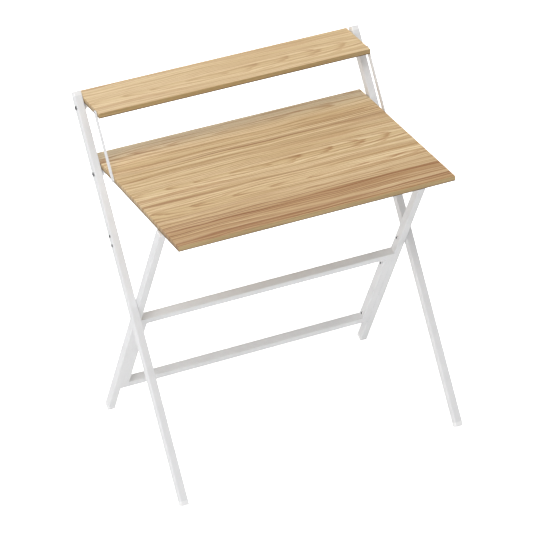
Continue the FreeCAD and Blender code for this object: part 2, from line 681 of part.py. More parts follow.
def main():
    # Where the rest rail lies under the desktop, counted from the desktop's pivot
    rail_back = rest_centre.y - desk_pivot.y
    for name, side in sides.items():
        make_long_leg(name, side)
        make_short_leg(name, side)
        make_link("link_" + name, side)
        make_bracket("desk_bracket_" + name, side, desk_pivot)
        make_bracket("shelf_bracket_" + name, side, shelf_pivot)
        make_hook("rest_hook_" + name, side)
    make_crossbar("upper_crossbar", size["upper_bar_drop"])
    make_crossbar("lower_crossbar", size["lower_bar_drop"])
    make_rest_rail()
    bracket_places = [place for side in sides.values() for place in bracket_screws(side)]
    hook_back = "%r + Sizes.hook_screw_back" % rail_back
    hook_places = [(across, hook_back) for side in sides.values() for across in hook_screws(side)]
    make_panel("desktop_panel", "Sizes.desk_depth", "Sizes.desk_rear", desk_pivot,
               [("Sizes.bracket_screw_bite", bracket_places), ("Sizes.hook_screw_bite", hook_places)])
    make_panel("shelf_panel", "Sizes.shelf_depth", "Sizes.shelf_rear", shelf_pivot,
               [("Sizes.bracket_screw_bite", bracket_places)])
    make_pivot_fasteners()
    make_cross_fasteners()
    make_frame_fasteners()
    make_splice_screws()
    make_bracket_screws("desk_bracket_screws", desk_pivot)
    make_bracket_screws("shelf_bracket_screws", shelf_pivot)
    make_hook_screws()
    make_link_fasteners("desk", desk_pivot)
    make_link_fasteners("shelf", shelf_pivot)
    doc.recompute()
    for thing in doc.Objects:
        if "Invalid" in thing.State or "Error" in thing.State:
            raise RuntimeError("%s failed to build" % thing.Label)
    os.makedirs("parts", exist_ok=True)
    for piece in nodes:
        if piece.Shape.isNull() or not piece.Shape.isValid():
            raise RuntimeError("%s has no valid shape" % piece.Label)
        piece.Shape.exportStep("parts/%s.step" % piece.Label)
    print("wrote %d nodes" % len(nodes))


main()
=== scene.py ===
import json
import math

import bpy
from mathutils import Euler, Matrix, Vector


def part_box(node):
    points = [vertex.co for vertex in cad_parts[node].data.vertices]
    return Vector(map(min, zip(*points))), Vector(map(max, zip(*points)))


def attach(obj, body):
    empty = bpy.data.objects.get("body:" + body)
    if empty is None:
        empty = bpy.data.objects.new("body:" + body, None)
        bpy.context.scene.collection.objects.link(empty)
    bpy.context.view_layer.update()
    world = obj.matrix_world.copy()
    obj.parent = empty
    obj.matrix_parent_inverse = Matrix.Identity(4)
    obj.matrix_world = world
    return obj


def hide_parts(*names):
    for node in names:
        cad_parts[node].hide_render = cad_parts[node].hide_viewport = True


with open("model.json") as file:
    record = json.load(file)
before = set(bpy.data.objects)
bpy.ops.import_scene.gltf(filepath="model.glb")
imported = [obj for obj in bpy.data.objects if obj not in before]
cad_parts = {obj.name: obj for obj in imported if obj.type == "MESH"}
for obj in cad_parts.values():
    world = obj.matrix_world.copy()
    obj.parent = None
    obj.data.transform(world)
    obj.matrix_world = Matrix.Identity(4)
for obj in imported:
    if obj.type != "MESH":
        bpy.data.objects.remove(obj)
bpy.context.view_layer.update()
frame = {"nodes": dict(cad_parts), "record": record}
nodes = frame["nodes"]
print("frame loaded:", len(nodes), "nodes")


# short ways to place shader and geometry nodes

def addNode(tree, kind, **settings):
    node = tree.nodes.new(kind)
    for name, value in settings.items():
        setattr(node, name, value)
    return node


def feed(tree, socket, value):
    if isinstance(value, bpy.types.NodeSocket):
        tree.links.new(value, socket)
    else:
        socket.default_value = value


def mathNode(tree, operation, *values):
    node = addNode(tree, "ShaderNodeMath", operation=operation)
    for socket, value in zip(node.inputs, values):
        feed(tree, socket, value)
    return node.outputs[0]


def plus(tree, first, second):
    return mathNode(tree, "ADD", first, second)


def minus(tree, first, second):
    return mathNode(tree, "SUBTRACT", first, second)


def times(tree, first, second):
    return mathNode(tree, "MULTIPLY", first, second)


def over(tree, first, second):
    return mathNode(tree, "DIVIDE", first, second)


def sizeOf(tree, value):
    return mathNode(tree, "ABSOLUTE", value)


def partsOf(tree, vector):
    node = addNode(tree, "ShaderNodeSeparateXYZ")
    feed(tree, node.inputs[0], vector)
    return node.outputs


def vectorOf(tree, x, y, z):
    node = addNode(tree, "ShaderNodeCombineXYZ")
    for socket, value in zip(node.inputs, (x, y, z)):
        feed(tree, socket, value)
    return node.outputs[0]


def noiseNode(tree, vector, scale, detail, roughness):
    node = addNode(tree, "ShaderNodeTexNoise")
    for name, value in (("Vector", vector), ("Scale", scale), ("Detail", detail), ("Roughness", roughness)):
        feed(tree, node.inputs[name], value)
    return node.outputs["Fac"]


def stretchedNoise(tree, vector, waves, detail, roughness):
    # waves per metre along X, Y and Z
    node = addNode(tree, "ShaderNodeVectorMath", operation="MULTIPLY")
    feed(tree, node.inputs[0], vector)
    feed(tree, node.inputs[1], waves)
    return noiseNode(tree, node.outputs[0], 1.0, detail, roughness)


def rampNode(tree, value, low, high, outLow=0.0, outHigh=1.0):
    node = addNode(tree, "ShaderNodeMapRange", interpolation_type="SMOOTHSTEP")
    for name, number in (("Value", value), ("From Min", low), ("From Max", high),
                         ("To Min", outLow), ("To Max", outHigh)):
        feed(tree, node.inputs[name], number)
    return node.outputs["Result"]


def mixColour(tree, amount, first, second, blend="MIX"):
    # the Mix node has sockets of every type under the same names, so the colours are found by type
    node = addNode(tree, "ShaderNodeMix", data_type="RGBA", blend_type=blend)
    feed(tree, node.inputs["Factor"], amount)
    for socket, value in zip([socket for socket in node.inputs if socket.type == "RGBA"], (first, second)):
        feed(tree, socket, value)
    return next(socket for socket in node.outputs if socket.type == "RGBA")


def newGroup(name, inputs, outputs):
    tree = bpy.data.node_groups.new(name, "ShaderNodeTree")
    for label, kind in inputs:
        tree.interface.new_socket(label, in_out="INPUT", socket_type=kind)
    for label, kind in outputs:
        tree.interface.new_socket(label, in_out="OUTPUT", socket_type=kind)
    start = addNode(tree, "NodeGroupInput")
    end = addNode(tree, "NodeGroupOutput")
    return tree, start.outputs, end.inputs


def placeGroup(tree, group, **values):
    node = addNode(tree, "ShaderNodeGroup", node_tree=group)
    for name, value in values.items():
        feed(tree, node.inputs[name], value)
    return node.outputs


def newMaterial(name, **shaderValues):
    material = bpy.data.materials.new(name)
    material.use_nodes = True
    tree = material.node_tree
    shader = tree.nodes["Principled BSDF"]
    for label, value in shaderValues.items():
        shader.inputs[label].default_value = value
    return material, tree, shader


def objectSpot(tree):
    return addNode(tree, "ShaderNodeTexCoord").outputs["Object"]


def bumpTo(tree, shader, height, strength, distance):
    bump = addNode(tree, "ShaderNodeBump")
    bump.inputs["Strength"].default_value = strength
    bump.inputs["Distance"].default_value = distance
    feed(tree, bump.inputs["Height"], height)
    feed(tree, shader.inputs["Normal"], bump.outputs["Normal"])


# light oak sheet: lines along X, figured hearts, reddish bands, open pores and a painted shadow of the shelf
# along the desk's rear; places in metres
oak = {
    "light": (0.815, 0.638, 0.378, 1), "honey": (0.665, 0.484, 0.252, 1), "red": (0.4, 0.2, 0.08, 1),
    # the grey-brown is painted shade: the shelf's shadow across the desk's rear strip
    "shelfShadow": (0.57, 0.505, 0.365, 1), "line": (0.65, 0.475, 0.37, 1), "dark": (0.31, 0.155, 0.055, 1),
    # the darkest brown is painted shade on the panels' sides and along their lower edges
    "edge": (0.5, 0.357, 0.17, 1), "edgeDark": (0.36, 0.245, 0.11, 1), "paintedSideShade": (0.13, 0.085, 0.035, 1),
    "backing": (0.62, 0.565, 0.49, 1), "mean": (0.69, 0.515, 0.29, 1),
    # middle across, half width and strength of each band; shares of the half width between which it fades
    "bands": ((0.104, 0.006, 0.5), (0.068, 0.010, 0.25), (0.012, 0.008, 0.2), (-0.045, 0.007, 0.25),
              (-0.068, 0.006, 0.4), (-0.148, 0.014, 0.3), (-0.172, 0.012, 0.35), (-0.206, 0.02, 1.0),
              (-0.256, 0.02, 0.85)),
    "bandFade": (0.5, 1.5),
    # middle across, half width, place along X and taper of each heart; share of the half width that is full
    "hearts": ((0.192, 0.040, 0.06, 0.05), (-0.008, 0.046, -0.05, 0.075), (-0.112, 0.046, 0.14, 0.06)),
    "heartCore": 0.55, "heartStrength": 0.75,
    # gaps between growth lines and between a heart's rings, how far the grain strays, and shifts in gaps
    "lineGap": 0.0082, "ringGap": 0.0064, "sway": 0.026, "ripple": 0.006, "lineShift": 5.0, "ringShift": 2.2,
    # waves per metre along and across the grain, detail and roughness of each noise
    "noise": {"wander": (2.4, 9, 3.0, 0.55), "shiver": (6, 30, 2.0, 0.5), "streak": (1.1, 50, 4.0, 0.65),
              "fine": (1.3, 170, 3.0, 0.6), "fibre": (14, 900, 2.0, 0.6), "pores": (48, 1500, 1.0, 0.5),
              "drift": (1.5, 20, 3.0, 0.55), "fade": (1.3, 60, 2.0, 0.5), "jitter": (3.5, 42, 3.0, 0.6)},
    # where each mask starts and ends, and its strength there
    "mask": {"ringRise": (0.5, 0.88, 0.0, 1.0), "ringFall": (0.9, 1.0, 1.0, 0.0),
             "streak": (0.4, 0.6, 0.0, 1.0), "shelfShadow": (0.15, 0.23, 0.0, 0.7), "ragged": (0.4, 0.56, 0.5, 1.0),
             "fade": (0.36, 0.62, 0.1, 1.0), "fineLines": (0.52, 0.59, 0.0, 0.7),
             "fibre": (0.5, 0.75, 0.0, 0.16), "pores": (0.62, 0.72, 0.0, 1.0)},
    "poreStrength": 0.34, "relief": {"fine": 0.25, "pores": 0.8, "late": 0.25},
    "roughness": {"base": 0.44, "streak": 0.1, "pores": 0.12},
}


def oakNoise(tree, vector, name):
    along, across, detail, roughness = oak["noise"][name]
    return stretchedNoise(tree, vector, (along, across, across), detail, roughness)


def oakStray(tree, vector, name, reach):
    # a noise about its middle value, as a distance
    return times(tree, minus(tree, oakNoise(tree, vector, name), 0.5), reach)


def oakMask(tree, value, name):
    return rampNode(tree, value, *oak["mask"][name])


def ringOf(tree, count):
    # late wood darkens slowly through each ring and ends sharply
    turn = mathNode(tree, "FRACT", count)
    return times(tree, oakMask(tree, turn, "ringRise"), oakMask(tree, turn, "ringFall"))


def makeOakGroup():
    tree, given, out = newGroup("oakFigure", [("Vector", "NodeSocketVector")],
                                [("Color", "NodeSocketColor"), ("Height", "NodeSocketFloat"),
                                 ("Roughness", "NodeSocketFloat")])
    vector = given["Vector"]
    x, y, z = partsOf(tree, vector)
    sway = oakStray(tree, vector, "wander", oak["sway"])
    ripple = oakStray(tree, vector, "shiver", oak["ripple"])
    across = plus(tree, y, plus(tree, sway, ripple))
    grain = vectorOf(tree, x, across, z)
    streak = oakNoise(tree, grain, "streak")
    fine = oakNoise(tree, grain, "fine")
    fibre = oakNoise(tree, vector, "fibre")
    pores = oakMask(tree, oakNoise(tree, vector, "pores"), "pores")
    # reddish bands with ragged sides
    band = 0.0
    core, rim = oak["bandFade"]
    for place, half, strength in oak["bands"]:
        away = sizeOf(tree, minus(tree, across, place))
        band = plus(tree, band, rampNode(tree, away, half * core, half * rim, strength, 0.0))
    band = times(tree, band, oakMask(tree, fine, "ragged"))
    # growth lines run on between the hearts, and close into pointed arches where the rings are cut at a slant
    drift = times(tree, oakNoise(tree, vector, "drift"), oak["lineShift"])
    lines = ringOf(tree, plus(tree, over(tree, across, oak["lineGap"]), drift))
    late = times(tree, lines, oakMask(tree, oakNoise(tree, vector, "fade"), "fade"))
    jitter = times(tree, oakNoise(tree, vector, "jitter"), oak["ringShift"])
    for place, half, tip, taper in oak["hearts"]:
        aside = minus(tree, across, place)
        depth = times(tree, minus(tree, x, tip), taper)
        radius = mathNode(tree, "SQRT", plus(tree, times(tree, aside, aside), times(tree, depth, depth)))
        ring = ringOf(tree, plus(tree, over(tree, radius, oak["ringGap"]), jitter))
        inside = rampNode(tree, sizeOf(tree, aside), half * oak["heartCore"], half, 1.0, 0.0)
        ring = times(tree, ring, times(tree, inside, oak["heartStrength"]))
        late = plus(tree, times(tree, late, minus(tree, 1.0, inside)), ring)
    colour = mixColour(tree, oakMask(tree, streak, "streak"), oak["light"], oak["honey"])
    # painted shadow of the shelf across the desk's rear strip
    colour = mixColour(tree, oakMask(tree, across, "shelfShadow"), colour, oak["shelfShadow"])
    colour = mixColour(tree, band, colour, oak["red"])
    colour = mixColour(tree, late, colour, oak["line"], "MULTIPLY")
    colour = mixColour(tree, oakMask(tree, fine, "fineLines"), colour, oak["line"], "MULTIPLY")
    colour = mixColour(tree, oakMask(tree, fibre, "fibre"), colour, oak["dark"])
    colour = mixColour(tree, times(tree, pores, oak["poreStrength"]), colour, oak["dark"])
    feed(tree, out["Color"], colour)
    relief, rough = oak["relief"], oak["roughness"]
    sunk = plus(tree, times(tree, pores, relief["pores"]), times(tree, late, relief["late"]))
    feed(tree, out["Height"], minus(tree, times(tree, fine, relief["fine"]), sunk))
    varied = plus(tree, times(tree, streak, rough["streak"]), times(tree, pores, rough["pores"]))
    feed(tree, out["Roughness"], plus(tree, rough["base"], varied))
    return tree


# the two panels: where the sheet is cut, its brightness and how much of the figure is calmed, which also
# lifts it; both are painted light that makes the shelf a more brightly lit copy of the same oak
panels = {
    "deskOak": {"node": "desktop_panel", "shift": (0.0, 0.0, 0.0), "paintedLightGain": 0.99, "calmAndLift": 0.0},
    "shelfOak": {"node": "shelf_panel", "shift": (0.0, -0.249, 0.0), "paintedLightGain": 1.0, "calmAndLift": 0.28},
}
# dressing of their sides; the first six are distances in metres from a face, between which a mask fades
panelSides = {
    "side": (0.0011, 0.0006), "longSide": (0.0004, 0.0001), "glueStart": (0.0016, 0.0011),
    # the band along the lower edge of every side is painted shade
    "glueEnd": (0.0005, 0.0002), "under": (0.00002, 0.0002), "paintedLowShade": (0.0022, 0.0044),
    # strengths of those masks, painted shade of the short sides from bottom to top, and lines of the long
    # sides
    "glueStrength": 0.4, "underStrength": 0.6, "paintedLowShadeStrength": 0.9, "shortShade": (0.8, 0.2),
    "edgeWaves": (3, 3, 420), "edgeDetail": 2.0, "edgeRoughness": 0.6, "edgeMask": (0.35, 0.7),
    "ior": 1.46, "bump": 0.25, "bumpDepth": 0.0004,
}


def makePanelMaterial(name, group, make):
    # the sheet wraps the faces and the short sides, the long sides get a plainer band with a fine glue line
    low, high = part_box(make["node"])
    material, tree, shader = newMaterial(name, IOR=panelSides["ior"])
    place = objectSpot(tree)
    x, y, z = partsOf(tree, place)
    moved = addNode(tree, "ShaderNodeMapping")
    moved.inputs["Location"].default_value = make["shift"]
    feed(tree, moved.inputs["Vector"], vectorOf(tree, x, y, 0.0))
    figure = placeGroup(tree, group, Vector=moved.outputs[0])
    half, reach = (high[2] - low[2]) / 2, (high[1] - low[1]) / 2
    rise = minus(tree, z, (low[2] + high[2]) / 2)
    away = sizeOf(tree, rise)
    back = sizeOf(tree, minus(tree, y, (low[1] + high[1]) / 2))

    def nearFace(distance, size, key, start=0.0, end=1.0):
        deep, shallow = panelSides[key]
        return rampNode(tree, distance, size - deep, size - shallow, start, end)

    def aboveBottom(key, strength):
        near, far = panelSides[key]
        return rampNode(tree, rise, near - half, far - half, strength, 0.0)

    onSide = nearFace(away, half, "side", 1.0, 0.0)
    onLong = times(tree, onSide, nearFace(back, reach, "longSide"))
    onShort = minus(tree, onSide, onLong)
    glue = times(tree, nearFace(away, half, "glueStart"), nearFace(away, half, "glueEnd", 1.0, 0.0))
    shade = rampNode(tree, rise, -half, half, *panelSides["shortShade"])
    under = aboveBottom("under", 1.0)
    paintedLowShade = times(tree, aboveBottom("paintedLowShade", panelSides["paintedLowShadeStrength"]), minus(tree, 1.0, under))
    lines = stretchedNoise(tree, place, panelSides["edgeWaves"], panelSides["edgeDetail"],
                           panelSides["edgeRoughness"])
    edgeBand = mixColour(tree, rampNode(tree, lines, *panelSides["edgeMask"]), oak["edge"], oak["edgeDark"])
    # painted light: each sheet is brightened or darkened by its own gain, and the shelf's is calmed and
    # lifted towards the mean colour
    paintedLightGain = make["paintedLightGain"]
    sheet = mixColour(tree, make["calmAndLift"], figure["Color"], oak["mean"])
    sheet = mixColour(tree, 1.0, sheet, (paintedLightGain, paintedLightGain, paintedLightGain, 1), "MULTIPLY")
    colour = mixColour(tree, onLong, sheet, edgeBand)
    colour = mixColour(tree, times(tree, glue, panelSides["glueStrength"]), colour, oak["edgeDark"])
    # painted shade on the short sides, darker towards the bottom
    colour = mixColour(tree, times(tree, onShort, shade), colour, oak["paintedSideShade"])
    colour = mixColour(tree, times(tree, under, panelSides["underStrength"]), colour, oak["backing"])
    # painted shade in a band along the lower edge of every side
    colour = mixColour(tree, paintedLowShade, colour, oak["paintedSideShade"])
    feed(tree, shader.inputs["Base Color"], colour)
    feed(tree, shader.inputs["Roughness"], figure["Roughness"])
    bumpTo(tree, shader, figure["Height"], panelSides["bump"], panelSides["bumpDepth"])
    return material


# cloud and fine grain that the painted, plated and moulded finishes share
skin = {"cloudWaves": 14.0, "cloudDetail": 3.0, "cloudRoughness": 0.55, "cloudMask": (0.3, 0.7),
        "grainDetail": 2.0, "grainRoughness": 0.5, "glossSpread": 0.1, "bumpDepth": 0.0003}
# painted shade: soles darken towards the floor, as if their lower edge were in shadow; the height is in
# metres
soleShade = {"colour": (0.3, 0.3, 0.295, 1), "height": 0.005, "strength": 0.75}
# main colour, colour in the clouds, roughness, grain in waves per metre and strength of its bump
whitePlastic = {"colour": (0.86, 0.86, 0.862, 1), "shade": (0.83, 0.83, 0.835, 1), "roughness": 0.36,
                "grain": 1600.0, "bump": 0.1}
plainFinishes = {
    "whiteCoat": {"colour": (0.765, 0.769, 0.778, 1), "shade": (0.735, 0.738, 0.747, 1), "roughness": 0.42,
                  "grain": 900.0, "bump": 0.12},
    "whiteCap": whitePlastic,
    "whiteFoot": {**whitePlastic, "shadedSole": True},
    "darkBolt": {"colour": (0.2, 0.2, 0.206, 1), "shade": (0.14, 0.14, 0.146, 1), "roughness": 0.32,
                 "grain": 2400.0, "bump": 0.1, "metallic": 1.0},
    # the near-black inside the recesses is painted shade
    "recessShade": {"colour": (0.05, 0.05, 0.053, 1), "shade": (0.035, 0.035, 0.037, 1), "roughness": 0.5,
                   "grain": 2400.0, "bump": 0.1, "metallic": 1.0},
    "brightZinc": {"colour": (0.8, 0.8, 0.81, 1), "shade": (0.74, 0.74, 0.75, 1), "roughness": 0.2,
                   "grain": 2000.0, "bump": 0.08, "metallic": 1.0},
    "naturalNylon": {"colour": (0.78, 0.76, 0.71, 1), "shade": (0.72, 0.70, 0.65, 1), "roughness": 0.5,
                     "grain": 1200.0, "bump": 0.1},
}


def makeSkinGroup():
    tree, given, out = newGroup("surfaceGrain",
                                [("Vector", "NodeSocketVector"), ("Grain", "NodeSocketFloat")],
                                [("Cloud", "NodeSocketFloat"), ("Height", "NodeSocketFloat")])
    vector = given["Vector"]
    cloud = noiseNode(tree, vector, skin["cloudWaves"], skin["cloudDetail"], skin["cloudRoughness"])
    grain = noiseNode(tree, vector, given["Grain"], skin["grainDetail"], skin["grainRoughness"])
    feed(tree, out["Cloud"], cloud)
    feed(tree, out["Height"], grain)
    return tree


def makePlainMaterial(name, group, make):
    material, tree, shader = newMaterial(name, Metallic=make.get("metallic", 0.0))
    place = objectSpot(tree)
    grained = placeGroup(tree, group, Vector=place, Grain=make["grain"])
    clouds = rampNode(tree, grained["Cloud"], *skin["cloudMask"])
    colour = mixColour(tree, clouds, make["colour"], make["shade"])
    if make.get("shadedSole"):
        # painted shade along the bottom of each foot
        height = partsOf(tree, place)["Z"]
        low = rampNode(tree, height, 0.0, soleShade["height"], soleShade["strength"], 0.0)
        colour = mixColour(tree, low, colour, soleShade["colour"])
    feed(tree, shader.inputs["Base Color"], colour)
    spread = skin["glossSpread"]
    feed(tree, shader.inputs["Roughness"],
         plus(tree, make["roughness"] - spread / 2, times(tree, grained["Cloud"], spread)))
    bumpTo(tree, shader, grained["Height"], make["bump"], skin["bumpDepth"])
    return material


def makeFinishes():
    oakFigure, surfaceGrain = makeOakGroup(), makeSkinGroup()
    made = {name: makePanelMaterial(name, oakFigure, make) for name, make in panels.items()}
    made.update({name: makePlainMaterial(name, surfaceGrain, make) for name, make in plainFinishes.items()})
    return made


slotFinish = {"white_steel": "whiteCoat", "white_plastic": "whiteCap", "dark_steel": "darkBolt",
              "zinc_steel": "brightZinc", "nylon": "naturalNylon"}
ownFinish = {"desktop_panel": "deskOak", "shelf_panel": "shelfOak", "front_foot_left": "whiteFoot",
             "front_foot_right": "whiteFoot", "rear_foot_left": "whiteFoot", "rear_foot_right": "whiteFoot"}
finishes = makeFinishes()
for row in frame["record"]["subparts"]:
    finish = ownFinish.get(row["node"]) or slotFinish[row["material_slot"]]
    slots = nodes[row["node"]].data.materials
    slots.clear()
    slots.append(finishes[finish])
print("finishes on the frame:", len(finishes))


# pieces that repeat are grown by geometry nodes on points that the CAD solids give

def solidBoxes(nodeName):
    # lowest and highest corner of each separate solid in a CAD node
    mesh = nodes[nodeName].data
    keys = [tuple(round(value, 6) for value in vertex.co) for vertex in mesh.vertices]
    leader = {key: key for key in keys}

    def find(key):
        while leader[key] != key:
            leader[key] = leader[leader[key]]
            key = leader[key]
        return key

    for face in mesh.polygons:
        first = find(keys[face.vertices[0]])
        for corner in face.vertices[1:]:
            leader[find(keys[corner])] = first
    groups = {}
    for key in leader:
        groups.setdefault(find(key), []).append(Vector(key))
    return [(Vector(map(min, zip(*points))), Vector(map(max, zip(*points)))) for points in groups.values()]


def newGeometryTree(name, sizes, others):
    tree = bpy.data.node_groups.new(name, "GeometryNodeTree")
    tree.interface.new_socket("Geometry", in_out="INPUT", socket_type="NodeSocketGeometry")
    for label, kind in [(label, "NodeSocketFloat") for label in sizes] + others:
        tree.interface.new_socket(label, in_out="INPUT", socket_type=kind)
    tree.interface.new_socket("Finish", in_out="INPUT", socket_type="NodeSocketMaterial")
    tree.interface.new_socket("Geometry", in_out="OUTPUT", socket_type="NodeSocketGeometry")
    start = addNode(tree, "NodeGroupInput")
    end = addNode(tree, "NodeGroupOutput")
    return tree, start.outputs, end.inputs[0]


def shapeNode(tree, kind, output="Mesh", **values):
    node = addNode(tree, kind)
    for label, value in values.items():
        feed(tree, node.inputs[label.replace("_", " ")], value)
    return node.outputs[output]


def pickBy(tree, index, values):
    # one value for each whole number of the index
    node = addNode(tree, "GeometryNodeIndexSwitch", data_type="FLOAT")
    while len(node.index_switch_items) < len(values):
        node.index_switch_items.new()
    feed(tree, node.inputs["Index"], index)
    for socket, value in zip(node.inputs[1:], values):
        feed(tree, socket, value)
    return node.outputs[0]


def spotOf(tree):
    return partsOf(tree, addNode(tree, "GeometryNodeInputPosition").outputs[0])


def turned(tree, geometry, radius, turn, height):
    # every point goes to its own radius, turn and height about the axis
    node = addNode(tree, "GeometryNodeSetPosition")
    feed(tree, node.inputs["Geometry"], geometry)
    x = times(tree, radius, mathNode(tree, "COSINE", turn))
    y = times(tree, radius, mathNode(tree, "SINE", turn))
    feed(tree, node.inputs["Position"], vectorOf(tree, x, y, height))
    return node.outputs[0]


def sixSided(tree, turn, corner):
    # radius of a hexagon with a corner at turn 0
    halfSector = math.pi / 6
    sector = minus(tree, mathNode(tree, "FLOORED_MODULO", turn, 2 * halfSector), halfSector)
    return over(tree, times(tree, corner, math.cos(halfSector)), mathNode(tree, "COSINE", sector))


# what the turned profiles of all screws and nuts share: counts, then shares of a screw's and of a nut's sizes
turning = {"segments": 48, "domeRings": 8, "recessRings": 2, "plainRings": 5,
           "skirt": 0.15, "draft": 0.93, "driveDepth": 0.7, "crossWidth": 0.21, "pointTaper": 0.82,
           "nutTall": 0.72, "nutTop": 0.84, "nutCone": 0.38, "collar": 0.78, "collarTop": 0.7,
           "collarShoulder": 0.9,
           # angle of a sharp edge in radians, least divisor and merging distance in metres
           "sharp": 0.6, "least": 0.001, "merge": 0.000002}


def softEdges(tree, geometry):
    smooth = addNode(tree, "GeometryNodeSetShadeSmooth", domain="FACE")
    feed(tree, smooth.inputs["Geometry"], geometry)
    angle = addNode(tree, "GeometryNodeInputMeshEdgeAngle").outputs["Unsigned Angle"]
    crease = addNode(tree, "GeometryNodeSetShadeSmooth", domain="EDGE")
    feed(tree, crease.inputs["Geometry"], smooth.outputs[0])
    feed(tree, crease.inputs["Selection"], mathNode(tree, "GREATER_THAN", angle, turning["sharp"]))
    crease.inputs["Shade Smooth"].default_value = False
    return crease.outputs[0]


def plantAndFinish(tree, given, geometry, end, recess=None):
    facing = addNode(tree, "GeometryNodeInputNamedAttribute", data_type="FLOAT_VECTOR")
    facing.inputs["Name"].default_value = "facing"
    turn = addNode(tree, "FunctionNodeEulerToRotation")
    feed(tree, turn.inputs[0], facing.outputs["Attribute"])
    plant = addNode(tree, "GeometryNodeInstanceOnPoints")
    feed(tree, plant.inputs["Points"], given["Geometry"])
    feed(tree, plant.inputs["Instance"], geometry)
    feed(tree, plant.inputs["Rotation"], turn.outputs[0])
    finishWith(tree, given, plant.outputs[0], end, recess)


def finishWith(tree, given, geometry, end, recess=None):
    real = addNode(tree, "GeometryNodeRealizeInstances")
    feed(tree, real.inputs[0], geometry)
    paint = addNode(tree, "GeometryNodeSetMaterial")
    feed(tree, paint.inputs["Geometry"], real.outputs[0])
    feed(tree, paint.inputs["Material"], given["Finish"])
    if recess:
        inside = addNode(tree, "GeometryNodeSetMaterial")
        feed(tree, inside.inputs["Geometry"], paint.outputs[0])
        feed(tree, inside.inputs["Selection"], recess)
        feed(tree, inside.inputs["Material"], given["Recess Shade Finish"])
        paint = inside
    feed(tree, end, paint.outputs[0])


def grow(name, tree, points, facings, edges, **values):
    # runs a tree over bare points and keeps only the plain mesh
    seed = bpy.data.meshes.new(name + "Seed")
    seed.from_pydata(points, edges, [])
    if facings:
        store = seed.attributes.new("facing", "FLOAT_VECTOR", "POINT")
        for item, facing in zip(store.data, facings):
            item.vector = facing
    holder = bpy.data.objects.new(name + "Seed", seed)
    bpy.context.collection.objects.link(holder)
    modifier = holder.modifiers.new("grow", "NODES")
    modifier.node_group = tree
    for socket in tree.interface.items_tree:
        if socket.in_out == "INPUT" and socket.name in values:
            modifier[socket.identifier] = values[socket.name]
    graph = bpy.context.evaluated_depsgraph_get()
    mesh = bpy.data.meshes.new_from_object(holder.evaluated_get(graph), depsgraph=graph)
    holder.modifiers.remove(modifier)
    bpy.data.objects.remove(holder)
    mesh.name = name
    piece = bpy.data.objects.new(name, mesh)
    bpy.context.collection.objects.link(piece)
    return piece


def makeScrewTree():
    # a ball's rings are moved to a dome head with a six-sided or cross recess, and a plain shank
    sizes = ["Head Radius", "Head Height", "Shank Radius", "Shank Length", "Drive Radius", "Drive Depth"]
    tree, given, end = newGeometryTree("domeScrew", sizes, [("Cross Drive", "NodeSocketBool"),
                                                            ("Recess Shade Finish", "NodeSocketMaterial")])
    radius, height, drive = given["Head Radius"], given["Head Height"], given["Drive Radius"]
    shank, length = given["Shank Radius"], given["Shank Length"]
    domeRings, recessRings = turning["domeRings"], turning["recessRings"]
    rings = domeRings + recessRings + turning["plainRings"]
    ball = shapeNode(tree, "GeometryNodeMeshUVSphere", Segments=turning["segments"], Rings=rings, Radius=1.0)
    x, y, z = spotOf(tree)
    turn = mathNode(tree, "ARCTAN2", y, x)
    climb = mathNode(tree, "ARCCOSINE", times(tree, z, -1.0))
    ring = mathNode(tree, "ROUND", times(tree, climb, rings / math.pi))
    # outline of the recess
    beside = mathNode(tree, "MAXIMUM", sizeOf(tree, mathNode(tree, "COSINE", turn)), turning["least"])
    above = mathNode(tree, "MAXIMUM", sizeOf(tree, mathNode(tree, "SINE", turn)), turning["least"])
    slim = times(tree, drive, turning["crossWidth"])
    upright = mathNode(tree, "MINIMUM", over(tree, slim, beside), over(tree, drive, above))
    level = mathNode(tree, "MINIMUM", over(tree, drive, beside), over(tree, slim, above))
    pick = addNode(tree, "GeometryNodeSwitch", input_type="FLOAT")
    feed(tree, pick.inputs["Switch"], given["Cross Drive"])
    feed(tree, pick.inputs["False"], sixSided(tree, turn, drive))
    feed(tree, pick.inputs["True"], mathNode(tree, "MAXIMUM", upright, level))
    rim = pick.outputs[0]
    # dome from the recess to the skirt
    part = over(tree, minus(tree, ring, recessRings), domeRings)
    out = mathNode(tree, "MULTIPLY_ADD", minus(tree, radius, rim), part, rim)
    share = over(tree, out, radius)
    left = mathNode(tree, "MAXIMUM", minus(tree, 1.0, times(tree, share, share)), 0.0)
    bulge = mathNode(tree, "SQRT", left)
    fall = mathNode(tree, "MULTIPLY_ADD", bulge, 1 - turning["skirt"], turning["skirt"])
    dome = times(tree, fall, times(tree, height, -1.0))
    floor = minus(tree, given["Drive Depth"], height)
    inner = times(tree, rim, turning["draft"])
    point = times(tree, shank, turning["pointTaper"])
    shoulder = minus(tree, length, minus(tree, shank, point))
    radii = [0.0, inner] + [out] * (domeRings + 1) + [radius, shank, shank, point, 0.0]
    heights = [floor, floor] + [dome] * (domeRings + 1) + [0.0, 0.0, shoulder, length, length]
    # the faces inside the recess keep their ring numbers and get a near-black finish of their own, painted
    # shade in the recess
    keep = addNode(tree, "GeometryNodeCaptureAttribute", domain="POINT")
    keep.capture_items.new("FLOAT", "ring")
    feed(tree, keep.inputs["Geometry"], ball)
    feed(tree, keep.inputs["ring"], ring)
    screw = turned(tree, keep.outputs["Geometry"], pickBy(tree, ring, radii), turn,
                   pickBy(tree, ring, heights))
    recess = mathNode(tree, "LESS_THAN", keep.outputs["ring"], recessRings)
    plantAndFinish(tree, given, softEdges(tree, screw), end, recess)
    return tree


